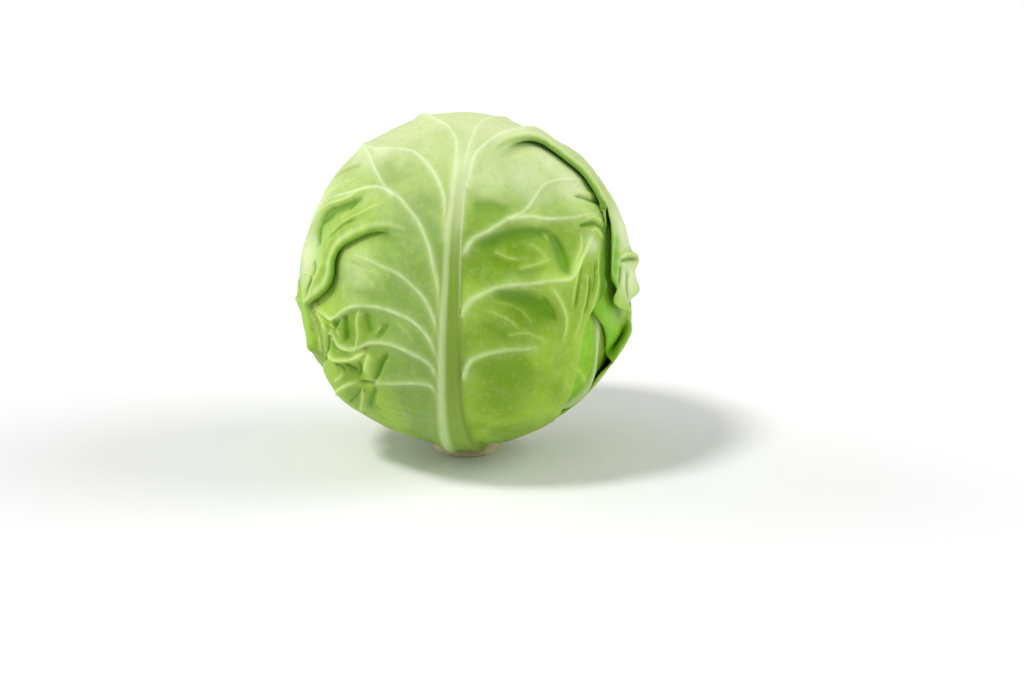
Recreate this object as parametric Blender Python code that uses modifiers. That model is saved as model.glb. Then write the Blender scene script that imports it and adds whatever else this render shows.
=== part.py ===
"""A head of white cabbage, standing on its cut stalk.

Metres, +Z up, the origin at the middle of the stalk's cut face. The head faces -Y.

Each wrapper leaf is drawn flat, as a pattern, and then draped over the ball of the head. A pattern's
points are (across, along) in degrees of arc on the ball, counted from the leaf's middle, with
"along" running from the stalk to the tip. A length on the pattern becomes metres at DEGREE a degree.
"""

import math
from dataclasses import dataclass, field

import bmesh
import bpy
import numpy as np
from mathutils import Vector
from mathutils.geometry import delaunay_2d_cdt

# Driving dimensions
BALL_RADIUS = 0.0840
BALL_HEIGHT = 0.0875  # the ball's centre, above the surface that the head stands on
LAYER_STEP = 0.0033  # from one leaf to the next one under it
BLADE = 0.0011
STALK_ANGLE = 11.5  # half angle of the stalk's cone, whose apex is the ball's centre
STALK_TOP = 0.0780
STALK_SIDES = 26
STALK_CHAMFER = 0.0008
CLEARANCE_ANGLE = 0.80  # between the stalk and the foot of a leaf

LEAF_LATITUDE = 18.0  # where the middle of every leaf lies
STALK_ALONG = -90.0 - LEAF_LATITUDE  # the stalk's axis, on a pattern
FOOT_ALONG = STALK_ALONG + STALK_ANGLE + CLEARANCE_ANGLE
DEGREE = BALL_RADIUS * math.pi / 180
PATTERN_REACH = 120.0  # degrees, more than any leaf's
LEAST_GAP = 0.62  # between a pattern's points, as a share of its spacing
LEAST_GUIDE_GAP = 0.28  # and between those that follow ribs, veins and folds

# Ribs and veins, from the foot of the midrib to its end
RIB_WIDTHS = (0.0115, 0.0066, 0.0047, 0.0034)  # half widths
RIB_HEIGHTS = (0.0042, 0.0026, 0.0017, 0.0010)
RIB_FADE = 0.12  # the share of the midrib over which it runs out
RIB_END = 0.25  # the share of its height that is left there
RIB_ROWS = (-1.04, -0.78, 0, 0.78, 1.04)  # where rows of points follow the midrib, in half widths
VEIN_WIDTH = 0.0017
VEIN_HEIGHT = 0.0009
VEIN_NARROWING = 0.35  # from a vein's start to its end, as a share of its width
VEIN_SINKING = 0.55
TENT_HEIGHT = 0.0007  # the blade rises this much towards each vein
TENT_REACH = 0.0080
COVERED_RELIEF = 0.12  # how much of its relief a leaf keeps where another one presses on it
COVER_HOLD = 0.0030  # a leaf stays down this far past the margin of the one that presses on it
COVER_FADE = 0.0140
MARGIN_TUCK = 0.0005
MARGIN_TUCK_REACH = 0.0060

# Pleats: an S-shaped fold that lays one part of the blade over the next. Across a fold, places are
# counted in half widths from its path, positive on the side that lies on top.
PLEAT_HALF_WIDTH = 0.0036
PLEAT_RISES_FROM = -0.8
PLEAT_RISES_TO = 2.0
PLEAT_THINNEST = 0.8
PLEAT_THIN_REACH = 2.2
PLEAT_RELAX = 0.0190  # the blade that lies on top sinks back over this distance
PLEAT_ROWS = (-2.4, -1.6, -0.9, 0, 0.9, 1.6, 2.4)  # where rows of points follow a fold
PLEAT_OPENS = 0.20  # the share of its path over which a fold opens again
PLEAT_CLOSES = 0.15  # the share of its path over which a fold dies away
PLEAT_MARGIN = 0.0090  # a fold opens over this distance before it runs out over the margin
PLEAT_AT_MARGIN = 0.40  # the share of its overlap that is left there
PLEAT_THINNING = 0.42  # the blade is this much thinner where it folds

# The packed inner leaves, which stand out of their dense ball in relief
INNER_LEAVES = 7
INNER_LEAF_RISE = 0.0010
INNER_LEAF_REACH = 62.0  # from its middle to its margin, in degrees
INNER_LEAF_MARGIN = 9.0  # the relief's slope at the margin, in degrees
GOLDEN_ANGLE = 137.5  # from one leaf to the next, round the stalk

# How the packed leaves make the head uneven
HEAD_LOBES = ((1.7, 0.0011, 0.4), (2.6, 0.0008, 2.1), (4.3, 0.0006, 4.0), (6.8, 0.0004, 1.2))
HEAD_BULGES = (  # longitude, latitude, reach in degrees, height
    (-76, -43, 20, 0.0046),
    (-103, 40, 24, 0.0030),
    (93, 10, 16, 0.0015),
    (104, 43, 16, 0.0028),
    (125, 65, 24, -0.0010),
)


@dataclass
class Pleat:
    """A fold that starts inside a leaf, deepens along its path, and may open again before the end."""

    path: list
    over: int  # the side that lies on top: 1 on the path's left, -1 on its right
    overlap: float
    rise: float
    deepens: float = 0.30  # how far along the fold is at its deepest
    opens: float = 2.0  # how far along the fold has opened
    closes: float = 2.0  # how far along the fold has died away


@dataclass
class Leaf:
    """One wrapper leaf: where it sits, and its flat pattern."""

    name: str
    longitude: float
    outline: list
    spine: list
    veins: list
    pleats: list = field(default_factory=list)
    swells: list = field(default_factory=list)  # (across, along, radius, height)
    spacing: float = 0.0095
    ridged: bool = True


def smooth(points, step=2.0, closed=False):
    """Points every few degrees on the smooth curve through the given ones."""
    p = np.array(points, float)
    if closed:
        p = np.vstack([p[-1], p, p[0], p[1]])
    else:
        p = np.vstack([2 * p[0] - p[1], p, 2 * p[-1] - p[-2]])
    found = []
    for a, b, c, d in zip(p, p[1:], p[2:], p[3:]):
        t = np.linspace(0, 1, max(2, round(np.linalg.norm(c - b) / step)), endpoint=False)[:, None]
        bend = (2 * a - 5 * b + 4 * c - d) * t**2 + (3 * (b - c) + d - a) * t**3
        found.append(0.5 * (2 * b + (c - a) * t + bend))
    curve = np.vstack(found)
    return curve if closed else np.vstack([curve, p[-2]])


def nearest(path, points, closed=False):
    """Each point's distance to the path, its side (1 on the left), and how far along it lies, 0 to 1."""
    start = path
    end = np.roll(path, -1, axis=0)
    if not closed:
        start, end = path[:-1], path[1:]
    run = end - start
    length = np.linalg.norm(run, axis=1)
    before = np.concatenate([[0], np.cumsum(length)])[:-1]
    best = np.full(len(points), np.inf)
    side = np.ones(len(points))
    along = np.zeros(len(points))
    for a, r, l, b in zip(start, run, length, before):
        t = np.clip(((points - a) @ r) / l**2, 0, 1)
        away = points - a - t[:, None] * r
        distance = np.hypot(away[:, 0], away[:, 1])
        closer = distance < best
        best[closer] = distance[closer]
        side[closer] = np.sign(r[0] * away[closer, 1] - r[1] * away[closer, 0])
        along[closer] = b + t[closer] * l
    return best, side, along / length.sum()


def inside(outline, points):
    """True for the points that the closed outline goes round."""
    odd = np.zeros(len(points), bool)
    for a, b in zip(outline, np.roll(outline, -1, axis=0)):
        spans = (a[1] > points[:, 1]) != (b[1] > points[:, 1])
        if a[1] != b[1]:
            crossing = a[0] + (points[:, 1] - a[1]) * (b[0] - a[0]) / (b[1] - a[1])
            odd ^= spans & (points[:, 0] < crossing)
    return odd


def depth_inside(leaf, points):
    """Metres from the leaf's margin, positive on the leaf and negative off it."""
    outline = smooth(leaf.outline, 4.0, closed=True)
    distance = nearest(outline, points, closed=True)[0] * DEGREE
    return np.where(inside(outline, points), distance, -distance)


def ramp(t):
    t = np.clip(t, 0, 1)
    return t * t * (3 - 2 * t)


def direction_of(longitude, latitude):
    """The direction of a place on the head. Longitude 0 is the front, and 90 the right."""
    lon, lat = math.radians(longitude), math.radians(latitude)
    return np.array([math.sin(lon) * math.cos(lat), -math.cos(lon) * math.cos(lat), math.sin(lat)])


def degrees_from(middle, direction):
    """The angle between each direction and the middle one."""
    return np.degrees(np.arccos(np.clip(direction @ middle, -1, 1)))


def axes_of(longitude):
    """The directions of a leaf's middle, of its right and of its tip."""
    middle = direction_of(longitude, LEAF_LATITUDE)
    right = direction_of(longitude + 90, 0)
    return middle, right, np.cross(middle, right)


def directions(longitude, points):
    """From the pattern to directions on the ball, at the same distance and bearing from the middle."""
    middle, right, tip = axes_of(longitude)
    angle = np.radians(np.hypot(points[:, 0], points[:, 1]))
    bearing = np.arctan2(points[:, 0], points[:, 1])
    outward = np.outer(np.sin(bearing), right) + np.outer(np.cos(bearing), tip)
    return np.cos(angle)[:, None] * middle + np.sin(angle)[:, None] * outward


def on_pattern(longitude, direction):
    """The other way: from directions on the ball to a leaf's pattern."""
    middle, right, tip = axes_of(longitude)
    angle = degrees_from(middle, direction)
    bearing = np.arctan2(direction @ right, direction @ tip)
    return np.column_stack([angle * np.sin(bearing), angle * np.cos(bearing)])


def clear_of_stalk(direction):
    """Directions inside the stalk's cone are moved out to its side."""
    level = np.hypot(direction[:, 0], direction[:, 1])
    least = math.sin(math.radians(STALK_ANGLE + CLEARANCE_ANGLE))
    hit = (level < least) & (direction[:, 2] < 0)
    moved = direction.copy()
    moved[hit, :2] *= (least / np.maximum(level[hit], 1e-6))[:, None]
    moved[hit, 2] = -math.sqrt(1 - least**2)
    return moved


def head_radius(direction):
    """The ball, with the low lobes and bulges that the packed leaves give it."""
    radius = np.full(len(direction), BALL_RADIUS)
    for turns, height, phase in HEAD_LOBES:
        axis = np.array([math.sin(phase * 3), math.cos(phase * 5), math.sin(phase * 7)])
        radius += height * np.sin(turns * 2 * direction @ axis + phase)
    for longitude, latitude, reach, height in HEAD_BULGES:
        away = degrees_from(direction_of(longitude, latitude), direction)
        radius += height * np.exp(-((away / reach) ** 2))
    return radius


def covers(leaves, direction):
    """How many of these leaves lie over each direction, fading out beyond their margins."""
    count = np.zeros(len(direction))
    for leaf in leaves:
        depth = depth_inside(leaf, on_pattern(leaf.longitude, direction))
        count += ramp(1 + (depth + COVER_HOLD) / COVER_FADE)
    return count


def rib_half_width(points, along):
    """Half the midrib's width in degrees of the pattern, which is drawn too wide far from its middle."""
    width = np.interp(along, np.linspace(0, 1, len(RIB_WIDTHS)), RIB_WIDTHS)
    return width / DEGREE / np.sinc(np.hypot(points[:, 0], points[:, 1]) / 180)


def rib_profile(leaf, points):
    """The midrib's height: a flat-topped bar that narrows and sinks towards the tip."""
    distance, _, along = nearest(smooth(leaf.spine), points)
    height = np.interp(along, np.linspace(0, 1, len(RIB_HEIGHTS)), RIB_HEIGHTS)
    across = distance / rib_half_width(points, along)
    fade = RIB_END + (1 - RIB_END) * ramp((1 - along) / RIB_FADE)
    return height * fade * np.clip(1 - across**4, 0, 1)


def vein_profile(leaf, points):
    """The height of the side veins, and the broader height of the blade that rises to meet them."""
    ridge = np.zeros(len(points))
    tent = np.zeros(len(points))
    for path in leaf.veins:
        distance, _, along = nearest(smooth(path), points)
        distance = distance * DEGREE
        height = VEIN_HEIGHT * (1 - VEIN_SINKING * along)
        width = VEIN_WIDTH * (1 - VEIN_NARROWING * along)
        ridge = np.maximum(ridge, height * np.exp(-((distance / width) ** 2)))
        tent = np.maximum(tent, TENT_HEIGHT * np.exp(-distance / TENT_REACH))
    return ridge, tent


def pleated(leaf, points, shown):
    """Folds the pattern where it shows. Gives the points' new places, their lift and their thinning."""
    moved = points.copy()
    lift = np.zeros(len(points))
    thin = np.ones(len(points))
    held = ramp(depth_inside(leaf, points) / PLEAT_MARGIN)
    slack = PLEAT_AT_MARGIN + (1 - PLEAT_AT_MARGIN) * held
    for pleat in leaf.pleats:
        line = smooth(pleat.path)
        distance, side, along = nearest(line, points)
        step = np.linalg.norm(np.diff(line, axis=0), axis=1)
        stations = np.concatenate([[0], np.cumsum(step)]) / step.sum()
        heading = np.gradient(line, axis=0)
        normal = np.column_stack([-heading[:, 1], heading[:, 0]])
        normal /= np.linalg.norm(normal, axis=1)[:, None]
        aside = np.column_stack([np.interp(along, stations, normal[:, i]) for i in (0, 1)])
        outward = pleat.over * aside
        strength = ramp(along / pleat.deepens) * ramp((pleat.closes - along) / PLEAT_CLOSES)
        strength *= np.clip(2 * shown - 1, 0, 1)
        offset = pleat.over * side * distance * DEGREE
        turn = offset / PLEAT_HALF_WIDTH
        overlap = pleat.overlap * strength * slack * ramp((pleat.opens - along) / PLEAT_OPENS)
        moved -= outward * (overlap * turn * np.exp(-(turn**2) / 2) / DEGREE)[:, None]
        top = ramp((turn - PLEAT_RISES_FROM) / (PLEAT_RISES_TO - PLEAT_RISES_FROM))
        top *= np.exp(-((np.maximum(offset, 0) / PLEAT_RELAX) ** 2))
        lift += pleat.rise * np.sqrt(strength) * top
        thin -= PLEAT_THINNING * np.exp(-(((turn - PLEAT_THINNEST) / PLEAT_THIN_REACH) ** 2))
    return moved, lift, thin


def drape(leaf, over, points):
    """The leaf's outer face in metres, and its thickness, at these points of its pattern."""
    covered = covers(over, directions(leaf.longitude, points))
    moved, lift, thin = pleated(leaf, points, 1 - np.clip(covered, 0, 1))
    direction = clear_of_stalk(directions(leaf.longitude, moved))
    covered = covers(over, direction)
    shown = 1 - (1 - COVERED_RELIEF) * np.clip(covered, 0, 1)
    rib = rib_profile(leaf, points)
    ridge, tent = vein_profile(leaf, points)
    relief = np.maximum(rib, ridge) * shown
    for across, along, radius, height in leaf.swells:
        distance = np.hypot(points[:, 0] - across, points[:, 1] - along) * DEGREE
        lift += height * shown * np.exp(-((distance / radius) ** 2))
    tuck = MARGIN_TUCK * np.exp(-np.maximum(depth_inside(leaf, points), 0) / MARGIN_TUCK_REACH)
    radius = head_radius(direction) - LAYER_STEP * covered + relief + tent * shown + lift - tuck
    place = direction * radius[:, None] + (0, 0, BALL_HEIGHT)
    return place, BLADE * thin + relief


def rows_beside(path, offsets, step, scale=1):
    """Rows of points along a path, at these distances to its sides, in degrees."""
    line = smooth(path, step)
    heading = np.gradient(line, axis=0)
    normal = np.column_stack([-heading[:, 1], heading[:, 0]])
    normal /= np.linalg.norm(normal, axis=1)[:, None]
    if callable(scale):
        scale = scale(line, nearest(line, line)[2])[:, None]
    return np.vstack([line + normal * offset * scale for offset in offsets])


def margin_points(leaf, step):
    """Points along a leaf's outline, closer together where a fold runs out over it."""
    fine = smooth(leaf.outline, step * 0.27, closed=True)
    kept = np.arange(len(fine)) % 3 == 0
    for pleat in leaf.pleats:
        kept |= nearest(smooth(pleat.path), fine)[0] * DEGREE < 3 * PLEAT_HALF_WIDTH
    return fine[kept]


def pattern_mesh(leaf):
    """The flat leaf as triangles: fine along its folds and veins, coarse between them."""
    step = leaf.spacing / DEGREE
    outline = margin_points(leaf, step)
    vein = 1.6 * VEIN_WIDTH / DEGREE
    fold = PLEAT_HALF_WIDTH / DEGREE
    rib = rows_beside(leaf.spine, RIB_ROWS, step * 0.9, rib_half_width)
    guides = [rows_beside(p.path, np.array(PLEAT_ROWS) * fold, step * 0.5) for p in leaf.pleats]
    if leaf.ridged:
        guides += [rows_beside(path, (-vein, 0, vein), step) for path in leaf.veins]
    columns = np.arange(-PATTERN_REACH, PATTERN_REACH, step)
    rows = np.arange(-PATTERN_REACH, PATTERN_REACH, step * math.sqrt(0.75))
    guides.append(np.array([(x + step / 2 * (i % 2), y) for i, y in enumerate(rows) for x in columns]))
    kept = list(outline)
    for i, group in enumerate([rib, *guides]):
        group = group[inside(outline, group)]
        if i:
            distance, _, along = nearest(smooth(leaf.spine), group)
            group = group[distance > 1.2 * rib_half_width(group, along)]
        least = (LEAST_GAP if i == len(guides) else LEAST_GUIDE_GAP) * step
        for point in group:
            if np.min(np.hypot(*(np.array(kept) - point).T)) > least:
                kept.append(point)
    edges = [(i, (i + 1) % len(outline)) for i in range(len(outline))]
    found = delaunay_2d_cdt([Vector(p) for p in kept], edges, [], 1, 1e-5)
    return np.array([tuple(v) for v in found[0]]), found[2]


def material(name, colour, roughness):
    made = bpy.data.materials.new(name)
    made.use_nodes = True
    shader = made.node_tree.nodes["Principled BSDF"]
    shader.inputs["Base Color"].default_value = (*colour, 1)
    shader.inputs["Roughness"].default_value = roughness
    shader.inputs["Metallic"].default_value = 0
    return made


def put(mesh, name, finish, collection):
    made = bpy.data.objects.new(name, mesh)
    made.data.materials.append(finish)
    made.data.shade_smooth()
    collection.objects.link(made)
    return made


def make_leaf(leaf, over, finish, collection):
    """A leaf: its draped outer face, with Solidify giving it the thickness of blade and rib."""
    points, triangles = pattern_mesh(leaf)
    place, thickness = drape(leaf, over, points)
    mesh = bpy.data.meshes.new(leaf.name)
    mesh.from_pydata([tuple(p) for p in place], [], [tuple(t) for t in triangles])
    made = put(mesh, leaf.name, finish, collection)
    weights = made.vertex_groups.new(name="thickness")
    for i, t in enumerate(thickness):
        weights.add([i], t / thickness.max(), "REPLACE")
    solid = made.modifiers.new("Blade", "SOLIDIFY")
    solid.thickness = thickness.max()
    solid.vertex_group = weights.name
    solid.offset = -1
    return made


def make_stalk(finish, collection):
    """The stalk: a cone cut square at the bottom, which runs up inside the head."""
    slope = math.tan(math.radians(STALK_ANGLE))
    profile = [(0, STALK_TOP)]
    for height in (STALK_TOP - 0.003, 0.050, 0.028, 0.012, 0.005, STALK_CHAMFER):
        profile.append(((BALL_HEIGHT - height) * slope, height))
    profile += [(BALL_HEIGHT * slope - 2 * STALK_CHAMFER, 0), (0, 0)]
    mesh = bpy.data.meshes.new("stalk")
    edges = [(i, i + 1) for i in range(len(profile) - 1)]
    mesh.from_pydata([(r, 0, z) for r, z in profile], edges, [])
    made = put(mesh, "stalk", finish, collection)
    turn = made.modifiers.new("Turn", "SCREW")
    turn.steps = turn.render_steps = STALK_SIDES
    turn.use_merge_vertices = True
    turn.merge_threshold = 0.00005
    return made


def make_inner_leaves(over, finish, collection, cutters):
    """The packed inner leaves: a dense ball with its leaves in relief and a socket for the stalk."""
    ball = bmesh.new()
    bmesh.ops.create_icosphere(ball, subdivisions=3, radius=1)
    direction = np.array([v.co.normalized() for v in ball.verts])
    radius = head_radius(direction) - LAYER_STEP * (covers(over, direction) + 1)
    for i in range(INNER_LEAVES):
        away = degrees_from(direction_of(GOLDEN_ANGLE * i, 34 - 4 * i), direction)
        radius += INNER_LEAF_RISE * (ramp((INNER_LEAF_REACH - away) / INNER_LEAF_MARGIN) - 1)
    for vertex, way, r in zip(ball.verts, direction, radius):
        vertex.co = Vector(way * r) + Vector((0, 0, BALL_HEIGHT))
    mesh = bpy.data.meshes.new("inner_leaves")
    ball.to_mesh(mesh)
    ball.free()
    made = put(mesh, "inner_leaves", finish, collection)

    slope = math.tan(math.radians(STALK_ANGLE + CLEARANCE_ANGLE))
    bottom, top = -0.010, STALK_TOP + 0.001
    tool = bmesh.new()
    bmesh.ops.create_cone(
        tool,
        cap_ends=True,
        segments=STALK_SIDES,
        radius1=(BALL_HEIGHT - bottom) * slope,
        radius2=(BALL_HEIGHT - STALK_TOP) * slope,
        depth=top - bottom,
    )
    bmesh.ops.translate(tool, verts=tool.verts, vec=(0, 0, (top + bottom) / 2))
    cutter_mesh = bpy.data.meshes.new("socket_cutter")
    tool.to_mesh(cutter_mesh)
    tool.free()
    cutter = bpy.data.objects.new("socket_cutter", cutter_mesh)
    cutter.hide_render = True
    cutter.display_type = "WIRE"
    cutters.objects.link(cutter)
    socket = made.modifiers.new("Socket", "BOOLEAN")
    socket.operation = "DIFFERENCE"
    socket.object = cutter
    return made


def foot(spread):
    """The foot of a leaf, left to right: an arc round the stalk, this far to each side."""
    turn = np.radians(np.linspace(-spread, spread, 5))
    cone = math.radians(STALK_ANGLE + CLEARANCE_ANGLE)
    level = np.column_stack([np.sin(turn), -np.cos(turn)]) * math.sin(cone)
    return on_pattern(0, np.column_stack([level, np.full(5, -math.cos(cone))])).tolist()


def front_leaf():
    """The outermost leaf. A pleat on each side takes it in, and the right one opens to a free lobe."""
    right_margin = [(43, -84), (47, -62), (49, -34), (50.5, -20), (54, -13), (57, -9), (59, -4), (58, 2)]
    right_margin += [(57, 8), (58, 15), (61, 24)]
    notch = [(63, 31), (64.5, 22), (64, 12), (64, 4), (62.8, -1)]
    free_lobe = [(64.5, -7), (67, -11), (77, -14), (87, -9.5), (98, 0), (103, 16), (104, 36), (98, 58)]
    tip = [(82, 79), (56, 94), (28, 101), (0, 103), (-30, 101), (-60, 91), (-81, 72)]
    left_margin = [(-91, 46), (-90, 22), (-84, 2), (-76, -10), (-66, -18), (-59, -24), (-57, -30)]
    left_margin += [(-60, -37), (-67, -45), (-69, -55), (-62, -70), (-49, -84)]
    right_pleat = [(14, 41), (18, 47), (23, 51.5), (28, 54.5), (33.5, 54.5), (38.5, 51.5), (43, 47.5)]
    right_pleat += [(48, 44.5), (53, 39.5), (58, 34), (61, 28), (62, 20), (61.5, 10), (61, -4), (58, -20)]
    left_pleat = [(-15, 8.5), (-22, 11.5), (-28, 12.3), (-33, 11.6), (-38, 10), (-42.5, 7.5), (-45, 3.5)]
    left_pleat += [(-46, -1.5), (-49, -5.8), (-54, -8.8), (-60, -11.8), (-66, -15)]
    return Leaf(
        name="leaf_front",
        longitude=-4,
        outline=[*foot(58), *right_margin, *notch, *free_lobe, *tip, *left_margin],
        spine=[(0, FOOT_ALONG + 1), (-1.2, -60), (-1.0, -38), (0, -12), (1, 22), (3, 46)],
        veins=[
            [(0, 38), (-3, 54), (-12, 66), (-26, 80)],
            [(3, 44), (5, 56), (10, 67), (20, 84)],
            [(-1, 10), (-3, 24), (-14, 42), (-30, 46), (-48, 62)],
            [(-1, -14), (-4, 0), (-13, 17), (-24, 29), (-34, 44), (-48, 62)],
            [(-20, 24), (-32, 28.5), (-62, 29)],
            [(-2, -28), (-5, -12), (-15, -2), (-40, 6)],
            [(-3, -36), (-8, -20), (-29, -13), (-47, -18), (-59, -14)],
            [(-4, -44), (-9, -28), (-28, -26), (-40, -29), (-57, -18)],
            [(-4, -52), (-12, -40), (-36, -42)],
            [(2, 28), (6, 40), (15, 54), (38, 69)],
            [(2, -2), (11, 11), (23, 19), (29, 29), (46, 39)],
            [(18, 15.5), (31, 17.5), (54, 22)],
            [(2, -24), (11, -9), (24, -5), (40, -3), (49, 9), (56, 13)],
            [(3, -40), (10, -26), (30, -23)],
            [(7, -13), (20, -10), (31, -24)],
        ],
        pleats=[
            Pleat(right_pleat, over=1, overlap=0.0068, rise=0.0044, deepens=0.22, opens=0.80),
            Pleat(left_pleat, over=-1, overlap=0.0068, rise=0.0040, closes=0.97),
        ],
        swells=[
            (64, -4, 0.006, 0.0025),
            (78, -16, 0.007, 0.0045),
            (87, 12, 0.006, 0.0030),
            (97, -4, 0.010, 0.0035),
            (-40, -22, 0.007, 0.0022),
            (-47, -33, 0.008, 0.0022),
            (-30, -34, 0.008, 0.0016),
            (-58, -25, 0.006, 0.0020),
        ],
        spacing=0.0088,
    )


def wrapper_leaf(name, longitude, width, tip, seed, spacing, ridged=True):
    """A leaf like the front one, by rule: side veins leave the midrib by turns and bend to the tip."""
    random = np.random.default_rng(seed)

    def wave():
        return 1 + 0.05 * random.uniform(-1, 1)

    shape = [(0.52, -84), (0.66, -58), (0.80, -30), (0.92, 0), (1.0, 30), (0.93, 58)]
    shape += [(0.72, 0.80 * tip), (0.40, 0.95 * tip)]
    right_side = [(width * share * wave(), along) for share, along in shape]
    left_side = [(-width * share * wave(), along) for share, along in shape]
    outline = [*foot(55), *right_side, (0, tip), *left_side[::-1]]
    veins = []
    for i in range(10):
        hand = 1 if i % 2 else -1
        start = -52 + 9.5 * i
        reach = width * (0.62 + 0.012 * i) * wave()
        rise = (8 + 4.2 * i) * wave()
        veins.append(
            [
                (hand * 1.5, start),
                (hand * reach * 0.22, start + rise * 0.65 + 6),
                (hand * reach * 0.60, start + rise + 8),
                (hand * reach, start + rise * 1.25 + 12),
            ]
        )
    end = 46
    veins.append([(0, end - 6), (-4, end + 12), (-14, end + 26)])
    veins.append([(0, end - 4), (5, end + 12), (13, end + 27)])
    spine = [(0, FOOT_ALONG + 1), (random.uniform(-2, 2), -40), (random.uniform(-2, 2), 0), (0, end)]
    return Leaf(name, longitude, outline, spine, veins, spacing=spacing, ridged=ridged)


def all_leaves():
    """The wrapper leaves, the outermost first, set round the stalk about two fifths of a turn apart."""
    back_right = wrapper_leaf("leaf_back_right", 133, 92, 96, 3, 0.0112)
    back_right.pleats = [
        Pleat([(20, -2), (34, 1), (48, -5), (60, -18), (84, -44)], over=-1, overlap=0.0068, rise=0.0044),
        Pleat([(-24, -12), (-38, -9), (-52, -18), (-80, -44)], over=1, overlap=0.0068, rise=0.0044),
    ]
    back_left = wrapper_leaf("leaf_back_left", -126, 92, 94, 5, 0.0112)
    back_left.swells = [(28, -17, 0.006, 0.0050), (33, -26, 0.0065, 0.0048), (54, -36, 0.007, 0.0030)]
    back_left.swells += [(22, -36, 0.009, 0.0018), (-14, -30, 0.010, 0.0020)]
    inner_right = wrapper_leaf("leaf_inner_right", 58, 84, 88, 7, 0.0155, ridged=False)
    inner_back = wrapper_leaf("leaf_inner_back", -176, 84, 88, 8, 0.0155, ridged=False)
    inner_left = wrapper_leaf("leaf_inner_left", -62, 84, 88, 9, 0.0155, ridged=False)
    return [front_leaf(), back_right, back_left, inner_right, inner_back, inner_left]


def main():
    for old in list(bpy.data.objects):
        bpy.data.objects.remove(old)
    collection = bpy.data.collections.new("cabbage_head")
    cutters = bpy.data.collections.new("cutters")
    bpy.context.scene.collection.children.link(collection)
    bpy.context.scene.collection.children.link(cutters)
    outer_green = material("outer_leaf", (0.36, 0.56, 0.14), 0.45)
    inner_green = material("inner_leaf", (0.50, 0.68, 0.24), 0.45)
    heart = material("heart_leaf", (0.72, 0.80, 0.46), 0.50)
    cut_stalk = material("stalk", (0.80, 0.80, 0.62), 0.60)
    leaves = all_leaves()
    for i, leaf in enumerate(leaves):
        make_leaf(leaf, leaves[:i], outer_green if leaf.ridged else inner_green, collection)
    make_inner_leaves(leaves, heart, collection, cutters)
    make_stalk(cut_stalk, collection)


main()
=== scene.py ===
"""The looks of a head of white cabbage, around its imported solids.

Each wrapper leaf is drawn flat, as a pattern, and then draped over the ball of the head, as in the
part's own source. A pattern's points are (across, along) in degrees of arc on the ball, counted from
the leaf's middle, with "along" running from the stalk to the tip.
"""

import math
from dataclasses import dataclass, field

import bpy
import numpy as np
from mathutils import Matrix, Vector, noise
from mathutils.geometry import delaunay_2d_cdt


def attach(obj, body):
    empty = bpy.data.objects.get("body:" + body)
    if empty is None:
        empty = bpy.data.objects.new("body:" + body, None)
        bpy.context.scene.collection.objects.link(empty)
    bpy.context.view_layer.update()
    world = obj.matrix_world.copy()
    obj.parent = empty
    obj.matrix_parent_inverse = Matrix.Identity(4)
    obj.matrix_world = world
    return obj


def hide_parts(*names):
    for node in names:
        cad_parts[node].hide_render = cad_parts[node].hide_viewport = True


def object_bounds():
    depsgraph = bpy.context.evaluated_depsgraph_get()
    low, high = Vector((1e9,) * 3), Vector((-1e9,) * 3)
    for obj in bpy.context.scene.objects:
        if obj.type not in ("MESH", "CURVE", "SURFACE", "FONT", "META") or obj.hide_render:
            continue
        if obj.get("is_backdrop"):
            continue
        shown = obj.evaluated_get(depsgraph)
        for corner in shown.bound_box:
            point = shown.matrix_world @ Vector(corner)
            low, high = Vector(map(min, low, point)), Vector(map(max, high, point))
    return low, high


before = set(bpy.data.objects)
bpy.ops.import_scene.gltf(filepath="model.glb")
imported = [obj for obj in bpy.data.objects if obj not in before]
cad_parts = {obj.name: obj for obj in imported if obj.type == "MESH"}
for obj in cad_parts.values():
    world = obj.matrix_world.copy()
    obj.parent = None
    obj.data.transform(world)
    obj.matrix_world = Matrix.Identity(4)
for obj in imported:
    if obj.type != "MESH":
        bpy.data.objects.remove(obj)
CAD_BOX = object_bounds()

# The head's driving dimensions, the same as its solids have
BALL_RADIUS = 0.0840
BALL_HEIGHT = 0.0875
LAYER_STEP = 0.0033
BLADE = 0.0011
STALK_ANGLE = 11.5
CLEARANCE_ANGLE = 0.80
LEAF_LATITUDE = 18.0
DEGREE = BALL_RADIUS * math.pi / 180
INSET = 0.00025  # the fine surfaces lie this far inside the faceted ones

RIB_WIDTHS = (0.0115, 0.0066, 0.0047, 0.0034)
RIB_HEIGHTS = (0.0040, 0.0024, 0.0016, 0.0009)
VEIN_WIDTH = 0.0011
VEIN_HEIGHT = 0.0008
VEIN_TAPER = 0.55  # from a vein's start to its end, as a share of its height
TENT_HEIGHT = 0.0021  # the blade rises this much towards each vein
TENT_REACH = 0.0050
HALO_REACH = 0.0030  # how far a vein's colour spreads into the blade
COVERED_RELIEF = 0.12  # the share of the relief that stays under another leaf
COVER_HOLD = 0.0030  # a leaf covers what lies under it to this far beyond its margin
COVER_FADE = 0.0140  # and less and less over this distance
MARGIN_TUCK = 0.0005
MARGIN_TUCK_REACH = 0.0060
MARGIN_REACH = 0.0030  # how far the margin's greener colour, partly painted light shining through the thin edge, spreads into the blade

BEND = 0.45  # how far the veins and creases wander from their drawn paths, in degrees
BEND_SIZE = 9.0
RIB_BEND = 0.4  # the midrib wanders by this share of that
NOISE_SPACING = 7.7  # between the slices of the noise that two seeds use
UNEVENNESS = ((3, 11.0, 0.00045), (4, 4.2, 0.00020))  # seed, size in degrees, height
DEEPEST_HOLLOW = 0.0019
CREST_HEIGHT = 0.0013  # creases this high have their full painted highlight, and hollows this deep their full painted shade
HOLLOW_DEPTH = 0.0010

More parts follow.
